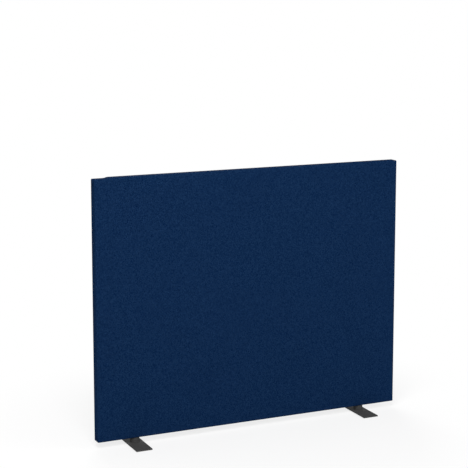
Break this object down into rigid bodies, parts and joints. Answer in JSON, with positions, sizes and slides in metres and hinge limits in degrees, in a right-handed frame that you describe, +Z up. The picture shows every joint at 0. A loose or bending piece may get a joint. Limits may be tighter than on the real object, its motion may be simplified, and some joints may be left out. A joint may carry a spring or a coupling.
{
  "type": "freestanding screen",
  "caption": "Low freestanding office screen: a fabric-covered upright panel carried by flat steel plate feet, with a small gap above the floor.",
  "frame": {"origin": "on the floor under the middle of the panel, at the underside of the foot pads", "axes": "+X along the panel's width to the right seen from the front, +Y from the front to the back, +Z up"},
  "size_m": [1.5, 0.25, 1.2],
  "materials": {
    "cover_fabric": "matte",
    "padding_felt": "matte",
    "infill_felt": "matte",
    "frame_timber": "matte",
    "hardboard": "matte",
    "tack_card": "matte",
    "feet_steel": "satin",
    "zinc_steel": "satin",
    "staple_wire": "satin",
    "pad_rubber": "matte"
  },
  "bodies": {
    "root": {"front_cover": "cover_fabric", "rear_cover": "cover_fabric", "front_padding": "padding_felt", "rear_padding": "padding_felt", "top_wadding": "padding_felt", "left_wadding": "padding_felt", "right_wadding": "padding_felt", "front_board": "hardboard", "rear_board": "hardboard", "top_rail": "frame_timber", "bottom_rail": "frame_timber", "left_stile": "frame_timber", "right_stile": "frame_timber", "left_stud": "frame_timber", "centre_stud": "frame_timber", "right_stud": "frame_timber", "left_foot_block": "frame_timber", "right_foot_block": "frame_timber", "far_left_infill": "infill_felt", "left_infill": "infill_felt", "right_infill": "infill_felt", "far_right_infill": "infill_felt", "frame_screws": "zinc_steel", "cover_staples": "staple_wire", "top_tack_strip": "tack_card", "bottom_tack_strip": "tack_card", "left_tack_strip": "tack_card", "right_tack_strip": "tack_card", "left_foot_plate": "feet_steel", "right_foot_plate": "feet_steel", "left_spacer": "feet_steel", "right_spacer": "feet_steel", "left_foot_pads": "pad_rubber", "right_foot_pads": "pad_rubber", "foot_bolts": "zinc_steel", "threaded_inserts": "zinc_steel"}
  },
  "joints": []
}
